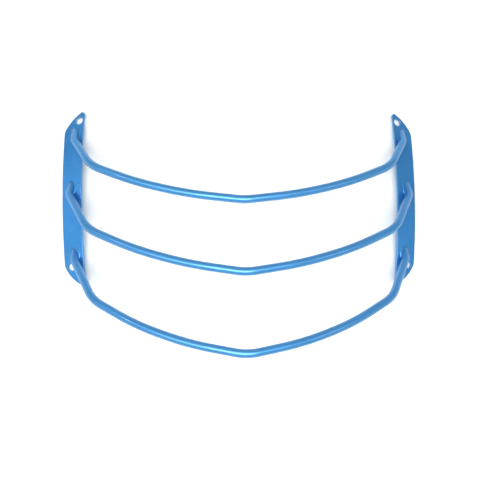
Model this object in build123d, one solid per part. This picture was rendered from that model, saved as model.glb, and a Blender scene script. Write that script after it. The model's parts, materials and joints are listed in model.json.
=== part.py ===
from build123d import *
import os
from math import cos, radians, sin, sqrt, tan

# Face cage of a hockey helmet: three bent round bars welded to the outer faces of two side plates.
# Millimetres.  The cage lies on its back, on the rear edges of its side plates.
# +X is the viewer's right, +Y points to the brow, +Z points away from the wearer's face.
# Both sides of the plane X = 0 are the same.

# ---- Bars ----
BAR_DIAMETER = 4.5
BAR_TILT = 51.0               # lean of each bar's plane from +Z towards -Y
NOSE_BEND = 25.0              # bend radii, on the bar's centre line
KNEE_BEND = 26.0
HEEL_BEND = 12.0
CHEEK_SHARE = 0.45            # share of the run between a cheek's two corners that each one's bend takes


class BarSize:
    """Where a bar sits on the side plate, and the corners of its path in its own plane.

    A reach is measured forwards from the seat, along the bar's plane.
    An inset is measured from the seat towards the middle of the cage.
    """

    def __init__(self, seat_along, seat_across, heel_reach, heel_outset, knee_reach, knee_inset,
                 nose_reach, cheek_swell):
        self.seat_along = seat_along          # from the plate's middle towards the brow
        self.seat_across = seat_across        # from the plate's middle line towards its front edge
        self.heel_reach = heel_reach
        self.heel_outset = heel_outset
        self.knee_reach = knee_reach
        self.knee_inset = knee_inset
        self.nose_reach = nose_reach
        self.cheek_swell = cheek_swell        # bulge of a half past the chord from knee to nose


BARS = {
    "top": BarSize(seat_along=38.5, seat_across=1.2, heel_reach=6.0, heel_outset=-0.1,
                   knee_reach=32.4, knee_inset=12.9, nose_reach=64.3, cheek_swell=5.6),
    "middle": BarSize(seat_along=5.0, seat_across=-0.5, heel_reach=6.0, heel_outset=0.3,
                      knee_reach=37.4, knee_inset=14.1, nose_reach=73.0, cheek_swell=5.5),
    "bottom": BarSize(seat_along=-34.5, seat_across=0.8, heel_reach=5.0, heel_outset=-0.3,
                      knee_reach=37.0, knee_inset=14.7, nose_reach=77.0, cheek_swell=6.1),
}

# ---- Side plates ----
PLATE_SPACING = 200.0         # between the middles of the two outer faces
PLATE_LENGTH = 105.5          # tip to tip
PLATE_WIDTH = 12.7
PLATE_THICKNESS = 1.5
PLATE_LEAN = 69.5             # angle of the plate's width from +Z, front edge inwards
PLATE_SPLAY = 1.7             # the plates stand wider apart at the brow than at the chin
PLATE_BOW = 325.0             # radius of the outer face along its length
SLANT_RUN = 12.0              # length along the plate that a slanted end takes
BROW_SLANT_RISE = 1.2         # bulge of a slanted end past its chord
CHIN_SLANT_RISE = 1.6
TIP_RADIUS = 2.0
CORNER_RADIUS = 6.0
PLATE_EDGE_RADIUS = 0.4

# ---- Screw holes ----
HOLE_DIAMETER = 5.0
BROW_HOLE_FROM_TIP = 5.6
BROW_HOLE_FROM_FRONT = 3.3
CHIN_HOLE_FROM_TIP = 11.2
CHIN_HOLE_FROM_FRONT = 8.1

# ---- Welds ----
WELD_LEG = 1.0
WELD_LIP = 0.2                # blunt edge where a bead runs out on the bar
WELD_ROOT = 0.4               # depth that a bead's blank starts below the plate's face

BAR_RADIUS = BAR_DIAMETER / 2
TRIM_LENGTH = 2 * BAR_DIAMETER          # spare bar past its seat, cut off by the plate's face
TRIM_DEPTH = 3 * BAR_DIAMETER
HALF_LENGTH = PLATE_LENGTH / 2
HALF_WIDTH = PLATE_WIDTH / 2

# Local X of a plate's face runs to its rear edge, local Y to the brow, local Z out of the face.
REARWARD = Vector(sin(radians(PLATE_LEAN)), 0, -cos(radians(PLATE_LEAN))).rotate(Axis.Z, -PLATE_SPLAY)
OUTWARD = Vector(cos(radians(PLATE_LEAN)), 0, sin(radians(PLATE_LEAN))).rotate(Axis.Z, -PLATE_SPLAY)
RIGHT_FACE = Plane(origin=(PLATE_SPACING / 2, 0, 0), x_dir=REARWARD, z_dir=OUTWARD)

# Normal and forward direction of the plane that a bar is bent in
BAR_NORMAL = (0, -cos(radians(BAR_TILT)), -sin(radians(BAR_TILT)))


def bow_drop(along):
    """Depth of the bowed outer face below its middle, at a distance along the plate."""
    return PLATE_BOW - sqrt(PLATE_BOW ** 2 - along ** 2)


def face_point(along, across):
    """A point on the right plate's outer face."""
    return RIGHT_FACE.from_local_coords(Vector(-across, along, -bow_drop(along)))


def bow_normal(along):
    """Outward normal of the bowed face, in the face's local coordinates."""
    slope = along / PLATE_BOW
    return Vector(0, slope, sqrt(1 - slope ** 2))


def face_normal(along):
    """Outward normal of the right plate's bowed face."""
    return RIGHT_FACE.from_local_coords(bow_normal(along)) - RIGHT_FACE.origin


# ---- Side plate ----
def bow_cylinder(radius):
    """Solid cylinder whose surface is a bowed face, in the face's local coordinates."""
    return Pos(0, 0, -PLATE_BOW) * Rot(0, 90, 0) * Cylinder(radius, 4 * PLATE_WIDTH)


def slanted_end(side, rise):
    """Arc from the rear corner to the tip; side is 1 at the brow and -1 at the chin."""
    corner = Vector(HALF_WIDTH, side * (HALF_LENGTH - SLANT_RUN))
    tip = Vector(-HALF_WIDTH + TIP_RADIUS, side * HALF_LENGTH)
    chord = tip - corner
    bulge = Vector(side * chord.Y, -side * chord.X).normalized() * rise
    return ThreePointArc(corner, (corner + tip) / 2 + bulge, tip)


def tip_arc(side):
    """Quarter circle from a slanted end round to the front edge."""
    centre = (-HALF_WIDTH + TIP_RADIUS, side * (HALF_LENGTH - TIP_RADIUS))
    return CenterArc(centre, TIP_RADIUS, 90, 90) if side > 0 else CenterArc(centre, TIP_RADIUS, 180, 90)


def plate_outline():
    """Flat shape of a side plate: straight edges, arc ends, rounded tips and corners."""
    brow_end = slanted_end(1, BROW_SLANT_RISE)
    chin_end = slanted_end(-1, CHIN_SLANT_RISE)
    brow_tip = tip_arc(1)
    chin_tip = tip_arc(-1)
    rear_edge = Line(chin_end @ 0, brow_end @ 0)
    front_edge = Line(brow_tip @ 1, chin_tip @ 0)
    face = make_face([rear_edge, brow_end, brow_tip, front_edge, chin_tip, chin_end])
    rear_corners = face.vertices().sort_by(Axis.X)[-2:]
    return fillet(rear_corners, CORNER_RADIUS)


def hole_places():
    """Local X and Y of the two screw holes, brow hole first."""
    return [
        (BROW_HOLE_FROM_FRONT - HALF_WIDTH, HALF_LENGTH - BROW_HOLE_FROM_TIP),
        (CHIN_HOLE_FROM_FRONT - HALF_WIDTH, CHIN_HOLE_FROM_TIP - HALF_LENGTH),
    ]


def side_plate():
    """The right side plate, cut from bowed sheet, with its two screw holes."""
    reach = bow_drop(HALF_LENGTH) + 2 * PLATE_THICKNESS
    blank = extrude(plate_outline(), amount=reach, both=True)
    sheet = bow_cylinder(PLATE_BOW) - bow_cylinder(PLATE_BOW - PLATE_THICKNESS)
    plate = blank & sheet
    plate = fillet(plate.edges(), PLATE_EDGE_RADIUS)
    for across, along in hole_places():
        mouth = Plane(origin=(across, along, -bow_drop(along)), z_dir=bow_normal(along))
        plate -= Location(mouth) * Cylinder(HOLE_DIAMETER / 2, 4 * PLATE_THICKNESS)
    return RIGHT_FACE.location * plate.solid()


def trim_block():
    """Everything just inside the right plate's outer face, to cut bars and welds to the face."""
    slab = Box(3 * PLATE_WIDTH, 2 * PLATE_LENGTH, 2 * TRIM_DEPTH + 2 * bow_drop(HALF_LENGTH))
    return RIGHT_FACE.location * (slab & bow_cylinder(PLATE_BOW))


# ---- Bars ----
def bar_plane(size):
    """The plane that a bar is bent in: local X across the cage, local Y forwards, from the seats."""
    seat = face_point(size.seat_along, size.seat_across)
    return Plane(origin=(0, seat.Y, seat.Z), x_dir=(1, 0, 0), z_dir=BAR_NORMAL)


def cheek_bend(before, corner, after, run):
    """Bend radius at a cheek's corner that takes up its share of the run between the two corners."""
    turn = radians((corner - before).get_angle(after - corner))
    return CHEEK_SHARE * run / tan(turn / 2)


def half_path(size):
    """Corners of a bar's path on the right, in its own plane, with the bend at each but the first.

    The path runs from past the seat to the nose.
    """
    seat = Vector(face_point(size.seat_along, size.seat_across).X, 0)
    heel = seat + Vector(size.heel_outset, size.heel_reach)
    knee = seat + Vector(-size.knee_inset, size.knee_reach)
    nose = Vector(0, size.nose_reach)
    end = seat + (seat - heel).normalized() * TRIM_LENGTH
    chord = nose - knee
    swell = Vector(-chord.Y, chord.X).normalized() * -size.cheek_swell
    rear_cheek, front_cheek = [knee + chord * share + swell for share in (1 / 3, 2 / 3)]
    run = (front_cheek - rear_cheek).length
    bends = [
        HEEL_BEND,
        KNEE_BEND,
        cheek_bend(knee, rear_cheek, front_cheek, run),
        cheek_bend(rear_cheek, front_cheek, nose, run),
    ]
    return [end, heel, knee, rear_cheek, front_cheek, nose], bends


def bar_blank(size):
    """One bent round bar, with spare length past each seat."""
    right, bends = half_path(size)
    left = [Vector(-corner.X, corner.Y) for corner in reversed(right[:-1])]
    corners = right + left
    radii = bends + [NOSE_BEND] + bends[::-1]
    path = bar_plane(size).location * FilletPolyline(*corners, radius=radii)
    return sweep(Plane(origin=path @ 0, z_dir=path % 0) * Circle(BAR_RADIUS), path=path)


# ---- Welds ----
def end_direction(size):
    """Direction in which a bar leaves its right seat."""
    plane = bar_plane(size)
    heel = plane.from_local_coords(Vector(size.heel_outset, size.heel_reach)) - plane.origin
    return heel.normalized()


def weld_blank(size):
    """Block of weld metal around a bar's right end, before the bar and the plate are cut out."""
    seat = face_point(size.seat_along, size.seat_across)
    normal = face_normal(size.seat_along)
    bar_way = end_direction(size)
    rise = bar_way.dot(normal)
    along_face = bar_way - normal * rise

    def slice_at(height, spread):
        centre = seat + bar_way * (height / rise)
        plane = Plane(origin=centre, x_dir=along_face, z_dir=normal)
        return plane * Ellipse(BAR_RADIUS / rise + spread, BAR_RADIUS + spread)

    return loft([slice_at(-WELD_ROOT, WELD_LEG + WELD_ROOT), slice_at(WELD_LEG, WELD_LIP)])


# ---- Assembly ----
def build_cage():
    """Every piece of the cage by name."""
    right_plate = side_plate()
    block = trim_block()
    pieces = {
        "right_side_plate": right_plate,
        "left_side_plate": mirror(right_plate, about=Plane.YZ),
    }
    for place, size in BARS.items():
        blank = bar_blank(size)
        pieces[place + "_bar"] = (blank - block - mirror(block, about=Plane.YZ)).solid()
        weld = (weld_blank(size) - blank - block).solid()
        pieces["weld_" + place + "_right"] = weld
        pieces["weld_" + place + "_left"] = mirror(weld, about=Plane.YZ)
    return pieces


def stand_on_floor(pieces):
    """Move the cage so that the origin is at the bottom centre of its overall box."""
    box = Compound(children=[piece.moved(Location()) for piece in pieces.values()]).bounding_box()
    shift = Pos(-box.center().X, -box.center().Y, -box.min.Z)
    return {name: shift * piece for name, piece in pieces.items()}


os.makedirs("parts", exist_ok=True)
for name, piece in stand_on_floor(build_cage()).items():
    piece.label = name
    export_step(piece, f"parts/{name}.step")
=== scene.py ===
import json
from math import cos, pi, radians, sin, sqrt, tan
from typing import NamedTuple

import bmesh
import bpy
from mathutils import Matrix, Vector, noise


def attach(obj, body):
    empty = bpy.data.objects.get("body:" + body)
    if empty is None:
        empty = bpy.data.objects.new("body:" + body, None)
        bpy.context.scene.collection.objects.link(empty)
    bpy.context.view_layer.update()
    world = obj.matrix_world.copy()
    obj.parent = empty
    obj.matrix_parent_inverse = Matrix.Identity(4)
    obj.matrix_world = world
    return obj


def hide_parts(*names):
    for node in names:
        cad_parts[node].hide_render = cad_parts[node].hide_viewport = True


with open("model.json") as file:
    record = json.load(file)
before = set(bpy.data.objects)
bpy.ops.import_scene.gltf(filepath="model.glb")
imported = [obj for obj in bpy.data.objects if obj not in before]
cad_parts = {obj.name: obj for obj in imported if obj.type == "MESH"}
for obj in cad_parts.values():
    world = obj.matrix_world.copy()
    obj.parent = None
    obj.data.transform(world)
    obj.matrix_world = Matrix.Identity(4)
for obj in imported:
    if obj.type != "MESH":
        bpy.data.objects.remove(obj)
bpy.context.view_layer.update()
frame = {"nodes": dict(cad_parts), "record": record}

# Looks of a helmet's face cage: three bent bars welded to two bowed side plates, painted metallic blue.
# +X is the viewer's right, +Y points to the brow, +Z points away from the wearer's face.
# The cage's sizes and the camera's place are in millimetres.  Meshes and the rest of the studio are in
# metres, patterns are counted per metre, and angles are in degrees.
MM = 0.001

# ---- Bar sizes ----
BAR_RADIUS = 2.25
BAR_TILT = 51.0               # lean of each bar's plane from +Z towards -Y
NOSE_BEND = 25.0              # bend radii, on the bar's centre line
KNEE_BEND = 26.0
HEEL_BEND = 12.0
CHEEK_SPOTS = (1 / 3, 2 / 3)  # where a cheek's two corners stand, as shares of the way from knee to nose
CHEEK_SHARE = 0.45            # share of the run between a cheek's two corners that each one's bend takes
BAR_SIDES = 56                # faces around a bar
BEND_STEPS = 26               # faces along each bend
BAR_SINK = 0.6                # depth that a bar's end reaches under the plate's face
END_SLACK = 0.01              # distance from a bar's end within which a point is on its end ring
RING_SLACK = 0.1              # and distance past the bar's radius


class BarSize(NamedTuple):
    """Where a bar sits on the side plate, and the corners of its path in its own plane.

    A reach is measured forwards from the seat, along the bar's plane.
    An inset is measured from the seat towards the middle of the cage.
    """

    seat_along: float         # from the plate's middle towards the brow
    seat_across: float        # from the plate's middle line towards its front edge
    heel_reach: float
    heel_outset: float
    knee_reach: float
    knee_inset: float
    nose_reach: float
    cheek_swell: float        # bulge of a half past the chord from knee to nose


BARS = {
    "top": BarSize(seat_along=38.5, seat_across=1.2, heel_reach=6.0, heel_outset=-0.1,
                   knee_reach=32.4, knee_inset=12.9, nose_reach=64.3, cheek_swell=5.6),
    "middle": BarSize(seat_along=5.0, seat_across=-0.5, heel_reach=6.0, heel_outset=0.3,
                      knee_reach=37.4, knee_inset=14.1, nose_reach=73.0, cheek_swell=5.5),
    "bottom": BarSize(seat_along=-34.5, seat_across=0.8, heel_reach=5.0, heel_outset=-0.3,
                      knee_reach=37.0, knee_inset=14.7, nose_reach=77.0, cheek_swell=6.1),
}

# ---- Side plate sizes ----
PLATE_LENGTH = 105.5          # tip to tip
PLATE_WIDTH = 12.7
PLATE_THICKNESS = 1.5
PLATE_LEAN = 69.5             # angle of the plate's width from +Z, front edge inwards
PLATE_SPLAY = 1.7             # the plates stand wider apart at the brow than at the chin
PLATE_BOW = 325.0             # radius of the outer face along its length
BROW_HOLE_FROM_TIP = 5.6
BROW_HOLE_FROM_FRONT = 3.3
HOLE_ROUND = 0.28             # paint-softened rim of a screw hole
HOLE_ROUND_STEPS = 4
GRID_STEP = 1.6               # spacing of the points added across a plate's flat faces
MERGE_GAP = 0.002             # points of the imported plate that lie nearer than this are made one
FLAT_ANGLE = 0.4              # faces that meet at less than this are made one
RIM_ANGLE = 70.0              # and at more than this they meet in a sharp rim

# ---- Weld sizes ----
WELD_LEG = 1.05               # reach of a bead up the bar and out along the plate
WELD_FULLNESS = 0.34          # 0 is a hollow bead, 1 a straight one
WELD_STEPS = 96               # faces around a bead
WELD_RINGS = 10               # faces from the bar to the plate
WELD_ROOT = 0.35              # depth that a bead's hidden side lies inside bar and plate
WELD_SINK = 0.03              # depth that a bead's own edges lie under bar and plate
WELD_BACK = 0.6               # share of each leg that the hidden side spans
WELD_UNEVEN = 0.28            # share by which a bead's legs wander
WANDER_PITCH = 1.7            # waves of that wander, more for a higher number
LEG_LAYERS = (0, 5)           # layers of the noise that the legs on the bar and on the plate follow
BEAD_LAYER_STEP = 10.0        # layers between one bar's beads and the next bar's

# ---- Paint values ----


class Finish(NamedTuple):
    """Paint on one kind of piece."""

    pigment: tuple
    roughness: float          # of the pigment under its clear coat
    dimples: float            # orange peel, in dimples per metre
    peel_depth: float         # depth of the orange peel, 1 on a bar
    edge_sheen_and_wear: float               # how far the paint pales along an edge: a painted sheen, with the paint drawn thin there


FINISHES = {
    "bar_paint": Finish(pigment=(0.066, 0.285, 0.62, 1), roughness=0.34, dimples=620.0,
                        peel_depth=1.0, edge_sheen_and_wear=0.0),
    "plate_paint": Finish(pigment=(0.025, 0.215, 0.56, 1), roughness=0.36, dimples=520.0,
                          peel_depth=1.3, edge_sheen_and_wear=0.55),
    "weld_paint": Finish(pigment=(0.035, 0.22, 0.52, 1), roughness=0.38, dimples=900.0,
                         peel_depth=2.2, edge_sheen_and_wear=0.0),
}
METALLIC = 0.65
RIM_GLOSS = 0.25              # specular level of the pigment
RIM_TINT = (0.15, 0.25, 0.4, 1)
COAT_GLOSS = 0.75
COAT_ROUGHNESS = 0.12
COAT_IOR = 1.5

# Metal flakes in the pigment
FLAKE_BLUE = (0.16, 0.5, 0.95, 1)
FLAKES = 4500.0               # cells, each of its own lightness
FLAKE_AMOUNT = 0.22
FLAKE_ROUGHENING = 0.04       # roughness that the flakes add

# Orange peel and sag of the paint's skin
PEEL_HEIGHT = 0.04
PEEL_STRENGTH = 0.35
SAG_PITCH = 0.22              # dimples of the slow sag for each one of the orange peel
SAG_DEPTH = 2.0               # its depth against the orange peel's

# Drift of the sprayed coat
THIN_BLUE = (0.09, 0.36, 0.78, 1)
PATCHES = 45.0                # thin and thick stretches of coat
THIN_FROM = 0.35              # noise level where the coat starts to thin
THIN_TO = 0.7                 # and where it is thinnest
DRIFT = 0.3                   # how far the colour follows the coat's thickness
THIN_ROUGHENING = 0.05        # roughness that a thin coat adds

# Edges paled by a painted sheen that stands in for their reflection, where the paint is also drawn thin
EDGE_SHEEN_BLUE = (0.22, 0.42, 0.62, 1)
CRUMBS = 900.0                # fine breaks in the painted sheen and wear
CRUMB_LIFT = 0.45             # added to their noise, so that a sharp edge is paled and worn most of the way
EDGE_SHEEN_FROM = 0.2               # edge level where the painted sheen and wear start
EDGE_SHEEN_TO = 0.95                # and where it is full
WEAR_ROUGHENING = 0.15        # roughness that the edge mask adds where it is full

# Dust
DUST_GREY = (0.75, 0.77, 0.78, 1)
DUST_AMOUNT = 0.25
DUST_DULLING = 0.6            # gloss that a speck takes from the clear coat
SPECKS = 420.0                # cells that may hold a speck
SPECK_SIZE = 0.07             # radius of a speck, in cells
DUST_CLOUDS = 60.0            # dusty stretches
DUST_CLOUD_LEVEL = 0.56       # noise level above which a stretch is dusty

# ---- Studio values ----


class Softbox(NamedTuple):
    """A rectangular lamp that faces a point."""

    place: tuple
    aim: tuple
    width: float
    depth: float
    power: float              # watts


SOFTBOXES = {
    "key_softbox": Softbox(place=(-0.05, -0.28, 1.07), aim=(0, 0, 0), width=0.8, depth=0.85, power=11.2),
    "fill_softbox": Softbox(place=(-0.6, -0.24, 0.93), aim=(0, 0, 0), width=0.4, depth=0.6, power=2.3),
    "right_softbox": Softbox(place=(0.84, -0.1, 0.84), aim=(0.09, 0.03, 0.03), width=0.3, depth=0.3,
                             power=0.8),
    "left_lamp": Softbox(place=(-0.965, 0.28, 0.886), aim=(-0.09, 0.03, 0.03), width=0.05, depth=0.05,
                         power=0.9),
}
SKY_WHITE = (0.98, 1.0, 0.97, 1)
# Height, from 0 level with the table to 1 overhead, and how strongly the surroundings glow there
SKY_GLOW = (
    (0.05, 0.6),
    (0.35, 0.38),
    (0.65, 0.38),
    (0.95, 0.45),
)
TABLE_HALF = 2.0
TABLE_WHITE = (0.95, 0.965, 0.95, 1)
TABLE_SHADE = (0.925, 0.945, 0.925, 1)
TABLE_CLOUDS = 6.0            # soft changes of the table's white
TABLE_ROUGHNESS = 0.6
TABLE_GLOSS = 0.2

CAMERA_LENS = 49.77
CAMERA_SENSOR = 36.0
CAMERA_PLACE = (-18.1, -76.6, 407.6)
CAMERA_TURN = (9.24, -3.25, -0.81)

HALF_LENGTH = PLATE_LENGTH / 2
HALF_WIDTH = PLATE_WIDTH / 2

# Local X of a plate's face runs to its rear edge, local Y to the brow, local Z out of the face.
SPLAY = Matrix.Rotation(radians(-PLATE_SPLAY), 3, "Z")
REARWARD = SPLAY @ Vector((sin(radians(PLATE_LEAN)), 0, -cos(radians(PLATE_LEAN))))
OUTWARD = SPLAY @ Vector((cos(radians(PLATE_LEAN)), 0, sin(radians(PLATE_LEAN))))
BROWWARD = OUTWARD.cross(REARWARD)
FACE_AXES = Matrix((REARWARD, BROWWARD, OUTWARD)).transposed()
FORWARD = Vector((0, -sin(radians(BAR_TILT)), cos(radians(BAR_TILT))))


# ---- The plate's bowed face ----
def bow_drop(along):
    """Depth of the bowed outer face below its middle, at a distance along the plate."""
    return PLATE_BOW - sqrt(PLATE_BOW ** 2 - along ** 2)


def bow_normal(along):
    """Outward normal of the bowed face, in the face's local coordinates."""
    slope = along / PLATE_BOW
    return Vector((0, slope, sqrt(1 - slope ** 2)))


def local_surface(x, y, height):
    """Local coordinates of a point at a height over the bowed face."""
    return Vector((x, y, -bow_drop(y))) + bow_normal(y) * height


def face_origin():
    """Middle of the right plate's outer face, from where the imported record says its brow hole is."""
    mounts = {mount["name"]: mount for mount in frame["record"]["mounts"]}
    hole = Vector(mounts["brow_screw_hole_right"]["pos_m"]) / MM
    x = BROW_HOLE_FROM_FRONT - HALF_WIDTH
    y = HALF_LENGTH - BROW_HOLE_FROM_TIP
    return hole - FACE_AXES @ local_surface(x, y, -PLATE_THICKNESS / 2)


FACE_ORIGIN = face_origin()


def to_frame(local):
    """A point in the right plate's local coordinates, in the shared frame."""
    return FACE_ORIGIN + FACE_AXES @ local


def to_local(point):
    """A point of the shared frame, in the right plate's local coordinates."""
    return FACE_AXES.transposed() @ (point - FACE_ORIGIN)


def slide_to_depth(point, way, depth):
    """The point where a line meets the surface that lies at a depth under the right plate's face."""
    start = to_local(point)
    step = FACE_AXES.transposed() @ way
    radius = PLATE_BOW - depth
    up = start.z + PLATE_BOW
    # The distance t along the line solves a t^2 + 2 b t + c = 0.
    a = step.y ** 2 + step.z ** 2
    b = start.y * step.y + up * step.z
    c = start.y ** 2 + up ** 2 - radius ** 2
    root = sqrt(b ** 2 - a * c)
    nearest = min(((-b + root) / a, (-b - root) / a), key=abs)
    return point + way * nearest


# ---- Mesh helpers ----
def put_in_scene(name, data):
    """A new object in the scene, for a mesh, a lamp or a camera."""
    thing = bpy.data.objects.new(name, data)
    bpy.context.scene.collection.objects.link(thing)
    return thing


def shade_smooth(mesh):
    """Shade every face of a mesh smooth."""
    mesh.polygons.foreach_set("use_smooth", [True] * len(mesh.polygons))


def set_point_values(mesh, name, values):
    """Store one number for each point of a mesh."""
    layer = mesh.attributes.new(name, "FLOAT", "POINT")
    layer.data.foreach_set("value", values)


def new_piece(name, points, faces):
    """A smooth mesh object from points in metres."""
    mesh = bpy.data.meshes.new(name)
    mesh.from_pydata(points, [], faces)
    mesh.validate()
    shade_smooth(mesh)
    return put_in_scene(name, mesh)


def face_outwards(piece):
    """Turn every face of a closed piece outwards."""
    work = bmesh.new()
    work.from_mesh(piece.data)
    bmesh.ops.recalc_face_normals(work, faces=work.faces)
    work.to_mesh(piece.data)
    work.free()


def mirrored_piece(piece, name):
    """The same piece on the other side of the cage."""
    twin = put_in_scene(name, piece.data.copy())
    twin.data.transform(Matrix.Scale(-1, 4, (1, 0, 0)))
    twin.data.flip_normals()
    return twin


# ---- Node helpers ----
def add_node(tree, kind, **settings):
    """Add a node; a setting is one of its own properties."""
    node = tree.nodes.new(kind)
    for key, value in settings.items():
        setattr(node, key, value)
    return node


def give(tree, socket, source):
    """Link an input to a socket, or set it to anything else."""
    if isinstance(source, bpy.types.NodeSocket):
        tree.links.new(source, socket)
    else:
        socket.default_value = source


def feed(tree, node, **sources):
    """Give a node's inputs their sources, by name with _ for a space."""
    for key, source in sources.items():
        give(tree, node.inputs[key.replace("_", " ")], source)
    return node


def math_node(tree, operation, first, second):
    """Result of one sum on two numbers."""
    node = add_node(tree, "ShaderNodeMath", operation=operation)
    give(tree, node.inputs[0], first)
    give(tree, node.inputs[1], second)
    return node.outputs[0]


def mix_colour(tree, factor, first, second):
    """Blend of two colours."""
    node = add_node(tree, "ShaderNodeMix", data_type="RGBA")
    colours = [socket for socket in node.inputs if socket.type == "RGBA"]
    give(tree, node.inputs["Factor"], factor)
    give(tree, colours[0], first)
    give(tree, colours[1], second)
    return next(socket for socket in node.outputs if socket.type == "RGBA")


def new_group(name, inputs, outputs):
    """Shader node group with named sockets; returns the tree, its inputs and its output node."""
    tree = bpy.data.node_groups.new(name, "ShaderNodeTree")
    for label, kind in inputs.items():
        tree.interface.new_socket(label, in_out="INPUT", socket_type="NodeSocket" + kind)
    for label, kind in outputs.items():
        tree.interface.new_socket(label, in_out="OUTPUT", socket_type="NodeSocket" + kind)
    entry = tree.nodes.new("NodeGroupInput")
    leave = tree.nodes.new("NodeGroupOutput")
    return tree, entry.outputs, leave


def use_group(tree, group, **values):
    """Place a node group in a material with its own values."""
    node = add_node(tree, "ShaderNodeGroup", node_tree=group)
    return feed(tree, node, **values).outputs


def object_place(tree):
    """Object coordinates, in metres."""
    return add_node(tree, "ShaderNodeTexCoord").outputs["Object"]


def noise_at(tree, place, scale, detail, roughness=0.5):
    """Value of a soft noise, about 0.5 on average."""
    node = add_node(tree, "ShaderNodeTexNoise")
    feed(tree, node, Vector=place, Scale=scale, Detail=detail, Roughness=roughness)
    return node.outputs["Fac"]


# ---- Bars ----
def bent_bar_tree():
    """Geometry nodes that round a corner path by each point's bend and sweep a bar along it."""
    tree = bpy.data.node_groups.new("bent_bar", "GeometryNodeTree")
    inputs = {
        "Corner path": "Geometry",
        "Bar radius": "Float",
        "Sides": "Int",
        "Bend steps": "Int",
        "Paint": "Material",
    }
    for label, kind in inputs.items():
        tree.interface.new_socket(label, in_out="INPUT", socket_type="NodeSocket" + kind)
    tree.interface.new_socket("Bar", in_out="OUTPUT", socket_type="NodeSocketGeometry")
    entry = add_node(tree, "NodeGroupInput").outputs
    bend = add_node(tree, "GeometryNodeInputNamedAttribute", data_type="FLOAT")
    feed(tree, bend, Name="bend")
    path = add_node(tree, "GeometryNodeMeshToCurve")
    feed(tree, path, Mesh=entry["Corner path"])
    rounded = add_node(tree, "GeometryNodeFilletCurve", mode="POLY")
    feed(tree, rounded, Curve=path.outputs[0], Count=entry["Bend steps"], Radius=bend.outputs[0])
    ring = add_node(tree, "GeometryNodeCurvePrimitiveCircle", mode="RADIUS")
    feed(tree, ring, Resolution=entry["Sides"], Radius=entry["Bar radius"])
    swept = add_node(tree, "GeometryNodeCurveToMesh")
    feed(tree, swept, Curve=rounded.outputs[0], Profile_Curve=ring.outputs[0], Fill_Caps=True)
    whole = add_node(tree, "GeometryNodeRealizeInstances")
    feed(tree, whole, Geometry=swept.outputs[0])
    painted = add_node(tree, "GeometryNodeSetMaterial")
    feed(tree, painted, Geometry=whole.outputs[0], Material=entry["Paint"])
    leave = add_node(tree, "NodeGroupOutput")
    feed(tree, leave, Bar=painted.outputs[0])
    return tree


def cheek_bend(before, corner, after, run):
    """Bend radius at a cheek's corner that takes up its share of the run between the two corners."""
    turn = (corner - before).angle(after - corner)
    return CHEEK_SHARE * run / tan(turn / 2)


def seat_point(size):
    """Where a bar's centre line meets the right plate's outer face."""
    return to_frame(local_surface(-size.seat_across, size.seat_along, 0))


def half_path(size):
    """Right-hand corners of a bar's path in the bar's plane, from seat to cheek, and their bends."""
    seat = Vector((seat_point(size).x, 0))
    heel = seat + Vector((size.heel_outset, size.heel_reach))
    knee = seat + Vector((-size.knee_inset, size.knee_reach))
    nose = Vector((0, size.nose_reach))
    chord = nose - knee
    swell = Vector((chord.y, -chord.x)).normalized() * size.cheek_swell
    rear_cheek, front_cheek = [knee + chord * share + swell for share in CHEEK_SPOTS]
    run = (front_cheek - rear_cheek).length
    bends = [
        0,
        HEEL_BEND,
        KNEE_BEND,
        cheek_bend(knee, rear_cheek, front_cheek, run),
        cheek_bend(rear_cheek, front_cheek, nose, run),
    ]
    return [seat, heel, knee, rear_cheek, front_cheek], bends


def bar_corners(size):
    """The whole corner path of a bar in the shared frame, right end first, with its bends."""
    right, bends = half_path(size)
    left = [Vector((-corner.x, corner.y)) for corner in reversed(right)]
    nose = Vector((0, size.nose_reach))
    seat = seat_point(size)
    level = Vector((0, seat.y, seat.z))
    points = [level + Vector((corner.x, 0, 0)) + FORWARD * corner.y for corner in right + [nose] + left]
    return points, bends + [NOSE_BEND] + bends[::-1]


def seat_ends(bar, seat, heel):
    """Slide the rings at a bar's two ends along the bar, so that they follow the plates' faces."""
    way = (seat - heel).normalized()
    mirror_x = Matrix.Scale(-1, 3, (1, 0, 0))
    for vertex in bar.data.vertices:
        side = Matrix.Identity(3) if vertex.co.x > 0 else mirror_x
        place = side @ (vertex.co / MM)
        level = abs((place - seat).dot(way)) < END_SLACK
        near = (place - seat).length < BAR_RADIUS + RING_SLACK
        if level and near:
            vertex.co = side @ slide_to_depth(place, way, BAR_SINK) * MM


def path_object(name, points, bends):
    """A bar's corner path as a chain of edges, with the bend at each point."""
    mesh = bpy.data.meshes.new(name)
    edges = [(index, index + 1) for index in range(len(points) - 1)]
    mesh.from_pydata([point * MM for point in points], edges, [])
    set_point_values(mesh, "bend", [bend * MM for bend in bends])
    return put_in_scene(name, mesh)


def swept_mesh(path, tree, paint):
    """Plain mesh of the bar that the node tree sweeps along a path."""
    sweep = path.modifiers.new("bent_bar", "NODES")
    sweep.node_group = tree
    values = {"Bar radius": BAR_RADIUS * MM, "Sides": BAR_SIDES, "Bend steps": BEND_STEPS, "Paint": paint}
    for item in tree.interface.items_tree:
        if item.in_out == "INPUT" and item.name in values:
            sweep[item.identifier] = values[item.name]
    graph = bpy.context.evaluated_depsgraph_get()
    mesh = bpy.data.meshes.new_from_object(path.evaluated_get(graph))
    path.modifiers.remove(sweep)
    return mesh


def make_bar(name, size, tree, paint):
    """One bent bar, swept by the node tree and seated on both plates."""
    points, bends = bar_corners(size)
    path = path_object(name + "_path", points, bends)
    mesh = swept_mesh(path, tree, paint)
    bpy.data.objects.remove(path)
    shade_smooth(mesh)
    bar = put_in_scene(name, mesh)
    seat_ends(bar, seat=points[0], heel=points[1])
    face_outwards(bar)
    return bar


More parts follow.
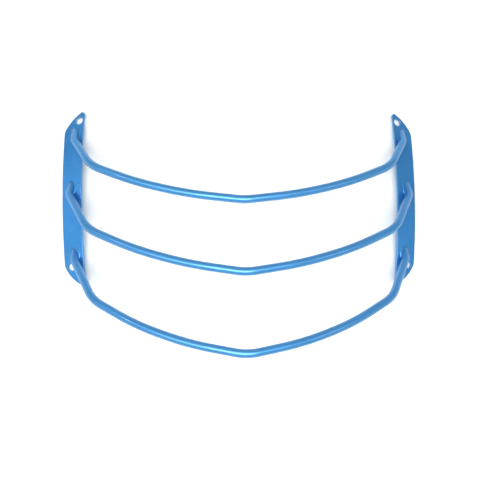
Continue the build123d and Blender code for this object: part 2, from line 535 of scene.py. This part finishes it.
# ---- Side plates ----
def cut_grid(work, direction, reach):
    """Cut a plate's faces across at even steps, so that shading, wear and the painted edge sheen have
    points to sit on.
    """
    steps = int(reach / GRID_STEP)
    for index in range(-steps, steps + 1):
        place = (FACE_ORIGIN + direction * (index * GRID_STEP)) * MM
        everything = work.verts[:] + work.edges[:] + work.faces[:]
        bmesh.ops.bisect_plane(work, geom=everything, plane_co=place, plane_no=direction)


def edge_level(point, normal):
    """How much a point of the right plate lies on a rounded edge: 0 on a face, 1 square to it."""
    local = to_local(point / MM)
    flatness = abs((FACE_AXES.transposed() @ normal).dot(bow_normal(local.y)))
    return 1 - flatness ** 2


def make_plate(name, node):
    """The right side plate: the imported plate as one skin, with softened hole rims."""
    work = bmesh.new()
    work.from_mesh(node.data)
    bmesh.ops.remove_doubles(work, verts=work.verts, dist=MERGE_GAP * MM)
    bmesh.ops.dissolve_limit(work, angle_limit=radians(FLAT_ANGLE), verts=work.verts, edges=work.edges)
    rims = [edge for edge in work.edges if edge.calc_face_angle(0) > radians(RIM_ANGLE)]
    bmesh.ops.bevel(work, geom=rims, offset=HOLE_ROUND * MM, offset_type="OFFSET",
                    segments=HOLE_ROUND_STEPS, profile=0.5, affect="EDGES", clamp_overlap=True)
    cut_grid(work, BROWWARD, HALF_LENGTH)
    cut_grid(work, REARWARD, HALF_WIDTH)
    bmesh.ops.triangulate(work, faces=work.faces)
    bmesh.ops.recalc_face_normals(work, faces=work.faces)
    mesh = bpy.data.meshes.new(name)
    work.to_mesh(mesh)
    work.free()
    shade_smooth(mesh)
    set_point_values(mesh, "edge", [edge_level(vertex.co, vertex.normal) for vertex in mesh.vertices])
    return put_in_scene(name, mesh)


# ---- Welds ----
def bead_section(foot, bar_out, plate_out, bar_way, plate_up, legs):
    """Closed loop of points through a bead: up the bar, over the hollow face, out on the plate."""
    bar_leg, plate_leg = legs
    top = foot + bar_way * bar_leg - bar_out * WELD_SINK
    toe = foot + plate_out * plate_leg - plate_up * WELD_SINK
    root = foot.lerp((top + toe) / 2, WELD_FULLNESS)
    loop = []
    for index in range(WELD_RINGS + 1):
        share = index / WELD_RINGS
        loop.append(top * (1 - share) ** 2 + root * 2 * share * (1 - share) + toe * share ** 2)
    loop.append(foot + plate_out * plate_leg * WELD_BACK - plate_up * WELD_ROOT)
    loop.append(foot - bar_out * WELD_ROOT - plate_up * WELD_ROOT)
    loop.append(foot + bar_way * bar_leg * WELD_BACK - bar_out * WELD_ROOT)
    return loop


def leg_length(turn, layer):
    """Length of a bead's leg at a turn around the bar, wandering a little."""
    wander = noise.noise(Vector((cos(turn), sin(turn), layer)) * WANDER_PITCH)
    return WELD_LEG * (1 + WELD_UNEVEN * wander)


def bead_loops(size, layer):
    """The sections of the bead round a bar's right end, all the way round it."""
    seat, heel = bar_corners(size)[0][:2]
    bar_way = (heel - seat).normalized()
    plate_up = FACE_AXES @ bow_normal(size.seat_along)
    aside = bar_way.cross(plate_up).normalized()
    across = bar_way.cross(aside)
    loops = []
    for step in range(WELD_STEPS):
        turn = 2 * pi * step / WELD_STEPS
        bar_out = aside * cos(turn) + across * sin(turn)
        foot = slide_to_depth(seat + bar_out * BAR_RADIUS, bar_way, 0)
        plate_out = (bar_out - plate_up * bar_out.dot(plate_up)).normalized()
        legs = [leg_length(turn, layer + leg_layer) for leg_layer in LEG_LAYERS]
        loops.append(bead_section(foot, bar_out, plate_out, bar_way, plate_up, legs))
    return loops


def make_weld(name, size, layer):
    """The weld bead round a bar's right end: a hollow fillet whose legs wander a little."""
    loops = bead_loops(size, layer)
    count = len(loops[0])
    faces = []
    for step in range(WELD_STEPS):
        here = step * count
        there = (step + 1) % WELD_STEPS * count
        for index in range(count):
            after = (index + 1) % count
            faces.append((here + index, here + after, there + after, there + index))
    weld = new_piece(name, [point * MM for loop in loops for point in loop], faces)
    face_outwards(weld)
    return weld


# ---- Paint ----
def flake_group():
    """Metal flakes in the paint: each tiny cell is a little lighter or darker than the pigment."""
    inputs = {
        "Place": "Vector",
        "Pigment": "Color",
        "Flake": "Color",
        "Flakes per metre": "Float",
        "Amount": "Float",
    }
    tree, entry, leave = new_group("metal_flake", inputs, {"Colour": "Color", "Sparkle": "Float"})
    cells = add_node(tree, "ShaderNodeTexVoronoi")
    feed(tree, cells, Vector=entry["Place"], Scale=entry["Flakes per metre"])
    pick = add_node(tree, "ShaderNodeSeparateColor")
    feed(tree, pick, Color=cells.outputs["Color"])
    share = math_node(tree, "MULTIPLY", pick.outputs[0], entry["Amount"])
    colour = mix_colour(tree, share, entry["Pigment"], entry["Flake"])
    feed(tree, leave, Colour=colour, Sparkle=pick.outputs[1])
    return tree


def orange_peel_group():
    """Height of the paint's skin: a fine orange peel over a slow sag."""
    inputs = {"Place": "Vector", "Dimples per metre": "Float", "Depth": "Float"}
    tree, entry, leave = new_group("orange_peel", inputs, {"Height": "Float"})
    dimples = noise_at(tree, entry["Place"], entry["Dimples per metre"], detail=2.0)
    sag_scale = math_node(tree, "MULTIPLY", entry["Dimples per metre"], SAG_PITCH)
    sag = noise_at(tree, entry["Place"], sag_scale, detail=1.0)
    both = math_node(tree, "ADD", dimples, math_node(tree, "MULTIPLY", sag, SAG_DEPTH))
    feed(tree, leave, Height=math_node(tree, "MULTIPLY", both, entry["Depth"]))
    return tree


def coverage_group():
    """Slow drift of the sprayed coat: where it lies thinner the colour is paler."""
    inputs = {
        "Place": "Vector",
        "Patches per metre": "Float",
        "Colour": "Color",
        "Thin colour": "Color",
        "Drift": "Float",
    }
    tree, entry, leave = new_group("spray_coverage", inputs, {"Colour": "Color", "Thinness": "Float"})
    patches = noise_at(tree, entry["Place"], entry["Patches per metre"], detail=3.0, roughness=0.55)
    spread = add_node(tree, "ShaderNodeMapRange")
    feed(tree, spread, Value=patches, From_Min=THIN_FROM, From_Max=THIN_TO)
    share = math_node(tree, "MULTIPLY", spread.outputs[0], entry["Drift"])
    colour = mix_colour(tree, share, entry["Colour"], entry["Thin colour"])
    feed(tree, leave, Colour=colour, Thinness=spread.outputs[0])
    return tree


def edge_sheen_group():
    """Painted sheen along an edge, where the paint is also drawn thin: paler, standing in for the edge's
    reflection, and a little duller, broken up by a fine noise.
    """
    inputs = {
        "Place": "Vector",
        "Edge": "Float",
        "Colour": "Color",
        "Worn colour": "Color",
        "Wear": "Float",
    }
    tree, entry, leave = new_group("edge_sheen_and_thinning", inputs, {"Colour": "Color", "Mask": "Float"})
    crumbs = noise_at(tree, entry["Place"], CRUMBS, detail=3.0, roughness=0.6)
    reach = math_node(tree, "MULTIPLY", entry["Edge"], math_node(tree, "ADD", crumbs, CRUMB_LIFT))
    mask = add_node(tree, "ShaderNodeMapRange", interpolation_type="SMOOTHSTEP")
    feed(tree, mask, Value=reach, From_Min=EDGE_SHEEN_FROM, From_Max=EDGE_SHEEN_TO)
    share = math_node(tree, "MULTIPLY", mask.outputs[0], entry["Wear"])
    colour = mix_colour(tree, share, entry["Colour"], entry["Worn colour"])
    feed(tree, leave, Colour=colour, Mask=share)
    return tree


def dust_group():
    """A few pale specks of dust settled on the coat."""
    inputs = {"Place": "Vector", "Specks per metre": "Float", "Colour": "Color", "Amount": "Float"}
    tree, entry, leave = new_group("dust", inputs, {"Colour": "Color", "Mask": "Float"})
    specks = add_node(tree, "ShaderNodeTexVoronoi")
    feed(tree, specks, Vector=entry["Place"], Scale=entry["Specks per metre"])
    speck = math_node(tree, "LESS_THAN", specks.outputs["Distance"], SPECK_SIZE)
    clouds = noise_at(tree, entry["Place"], DUST_CLOUDS, detail=2.0)
    dusty = math_node(tree, "GREATER_THAN", clouds, DUST_CLOUD_LEVEL)
    share = math_node(tree, "MULTIPLY", math_node(tree, "MULTIPLY", speck, dusty), entry["Amount"])
    feed(tree, leave, Colour=mix_colour(tree, share, entry["Colour"], DUST_GREY), Mask=share)
    return tree


def paint_layers(tree, place, finish, groups):
    """Outputs of the paint's layers, each over the one before: flakes, coat, edges paled by a painted sheen
    and thin paint, dust.
    """
    flakes = use_group(tree, groups["flake"], Place=place, Pigment=finish.pigment, Flake=FLAKE_BLUE,
                       Flakes_per_metre=FLAKES, Amount=FLAKE_AMOUNT)
    coat = use_group(tree, groups["coverage"], Place=place, Patches_per_metre=PATCHES,
                     Colour=flakes["Colour"], Thin_colour=THIN_BLUE, Drift=DRIFT)
    # Paler along the plate's edges: a painted sheen standing in for the reflection of the rounded edges,
    # over paint drawn thin there.
    edge = add_node(tree, "ShaderNodeAttribute", attribute_name="edge").outputs["Fac"]
    edges = use_group(tree, groups["edge"], Place=place, Edge=edge, Colour=coat["Colour"],
                      Worn_colour=EDGE_SHEEN_BLUE, Wear=finish.edge_sheen_and_wear)
    dust = use_group(tree, groups["dust"], Place=place, Specks_per_metre=SPECKS,
                     Colour=edges["Colour"], Amount=DUST_AMOUNT)
    return flakes, coat, edges, dust


def paint_material(name, finish, groups):
    """Metallic blue paint under a clear coat; the painted edge sheen and wear need the piece's own edge
    attribute.
    """
    material = bpy.data.materials.new(name)
    material.use_nodes = True
    tree = material.node_tree
    place = object_place(tree)
    flakes, coat, edges, dust = paint_layers(tree, place, finish, groups)
    rough = finish.roughness
    for mask, roughening in ((coat["Thinness"], THIN_ROUGHENING), (flakes["Sparkle"], FLAKE_ROUGHENING),
                             (edges["Mask"], WEAR_ROUGHENING)):
        rough = math_node(tree, "ADD", math_node(tree, "MULTIPLY", mask, roughening), rough)
    gloss = math_node(tree, "SUBTRACT", COAT_GLOSS, math_node(tree, "MULTIPLY", dust["Mask"], DUST_DULLING))
    peel = use_group(tree, groups["peel"], Place=place, Dimples_per_metre=finish.dimples,
                     Depth=finish.peel_depth)
    bump = add_node(tree, "ShaderNodeBump")
    feed(tree, bump, Height=peel["Height"], Strength=PEEL_STRENGTH, Distance=PEEL_HEIGHT * MM)
    feed(tree, tree.nodes["Principled BSDF"], Base_Color=dust["Colour"], Roughness=rough,
         Metallic=METALLIC, Specular_IOR_Level=RIM_GLOSS, Specular_Tint=RIM_TINT, Coat_Weight=gloss,
         Coat_Roughness=COAT_ROUGHNESS, Coat_IOR=COAT_IOR, Normal=bump.outputs[0])
    return material


def make_paints():
    """The finishes, one for each kind of piece."""
    groups = {
        "flake": flake_group(),
        "peel": orange_peel_group(),
        "coverage": coverage_group(),
        "edge": edge_sheen_group(),
        "dust": dust_group(),
    }
    return {name: paint_material(name, finish, groups) for name, finish in FINISHES.items()}


# ---- Cage ----
def finish_piece(piece, node, paint):
    """Paint a piece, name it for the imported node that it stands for, and fix it to the cage."""
    piece.data.materials.clear()
    piece.data.materials.append(paint)
    piece.name = node + "_looks"
    piece.data.name = piece.name
    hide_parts(node)
    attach(piece, "root")


def finish_pair(right, node, paint):
    """Mirror a right-hand piece to the left, and finish both; node has {} for the side."""
    left = mirrored_piece(right, node.format("left"))
    finish_piece(right, node.format("right"), paint)
    finish_piece(left, node.format("left"), paint)


def build_cage():
    """Every visible piece of the cage."""
    paints = make_paints()
    tree = bent_bar_tree()
    for index, (place, size) in enumerate(BARS.items()):
        bar = make_bar(place + "_bar_looks", size, tree, paints["bar_paint"])
        finish_piece(bar, place + "_bar", paints["bar_paint"])
        weld = make_weld("weld_" + place, size, BEAD_LAYER_STEP * index)
        finish_pair(weld, "weld_" + place + "_{}", paints["weld_paint"])
    plate = make_plate("plate", frame["nodes"]["right_side_plate"])
    finish_pair(plate, "{}_side_plate", paints["plate_paint"])


# ---- Studio ----
def add_softbox(name, box):
    """Put up one lamp and turn it to the point that it faces."""
    light = bpy.data.lights.new(name, "AREA")
    light.shape = "RECTANGLE"
    light.size = box.width
    light.size_y = box.depth
    light.energy = box.power
    lamp = put_in_scene(name, light)
    lamp.location = box.place
    lamp.rotation_euler = (Vector(box.aim) - Vector(box.place)).to_track_quat("-Z", "Y").to_euler()


def make_table():
    """Plain pale table top under the cage."""
    half = TABLE_HALF
    corners = [(-half, -half, 0), (half, -half, 0), (half, half, 0), (-half, half, 0)]
    table = new_piece("table_top", corners, [(0, 1, 2, 3)])
    material = bpy.data.materials.new("table_white")
    material.use_nodes = True
    tree = material.node_tree
    clouds = noise_at(tree, object_place(tree), TABLE_CLOUDS, detail=3.0)
    white = mix_colour(tree, clouds, TABLE_SHADE, TABLE_WHITE)
    feed(tree, tree.nodes["Principled BSDF"], Base_Color=white, Roughness=TABLE_ROUGHNESS,
         Specular_IOR_Level=TABLE_GLOSS)
    table.data.materials.append(material)


def make_sky():
    """Surroundings that glow by height: bright at the table, dimmer half way up, brighter overhead."""
    world = bpy.data.worlds.new("studio")
    world.use_nodes = True
    tree = world.node_tree
    way = add_node(tree, "ShaderNodeTexCoord").outputs["Generated"]
    height = add_node(tree, "ShaderNodeSeparateXYZ")
    feed(tree, height, Vector=way)
    glow = add_node(tree, "ShaderNodeValToRGB")
    feed(tree, glow, Fac=height.outputs["Z"])
    stops = glow.color_ramp.elements
    while len(stops) < len(SKY_GLOW):
        stops.new(1.0)
    for stop, (position, strength) in zip(stops, SKY_GLOW):
        stop.position = position
        stop.color = [strength] * 3 + [1]
    feed(tree, tree.nodes["Background"], Color=SKY_WHITE, Strength=glow.outputs["Color"])
    bpy.context.scene.world = world


def make_camera():
    """Camera high over the cage, a little towards the chin and to the left."""
    camera = bpy.data.cameras.new("camera")
    camera.lens = CAMERA_LENS
    camera.sensor_width = CAMERA_SENSOR
    stand = put_in_scene("camera", camera)
    stand.location = Vector(CAMERA_PLACE) * MM
    stand.rotation_mode = "ZXY"
    stand.rotation_euler = [radians(angle) for angle in CAMERA_TURN]
    bpy.context.scene.camera = stand


def build_studio():
    """White table and surroundings, the lamps and the camera, with colours shown as they are lit."""
    make_sky()
    for name, box in SOFTBOXES.items():
        add_softbox(name, box)
    make_table()
    make_camera()
    bpy.context.scene.view_settings.view_transform = "Standard"


build_cage()
build_studio()
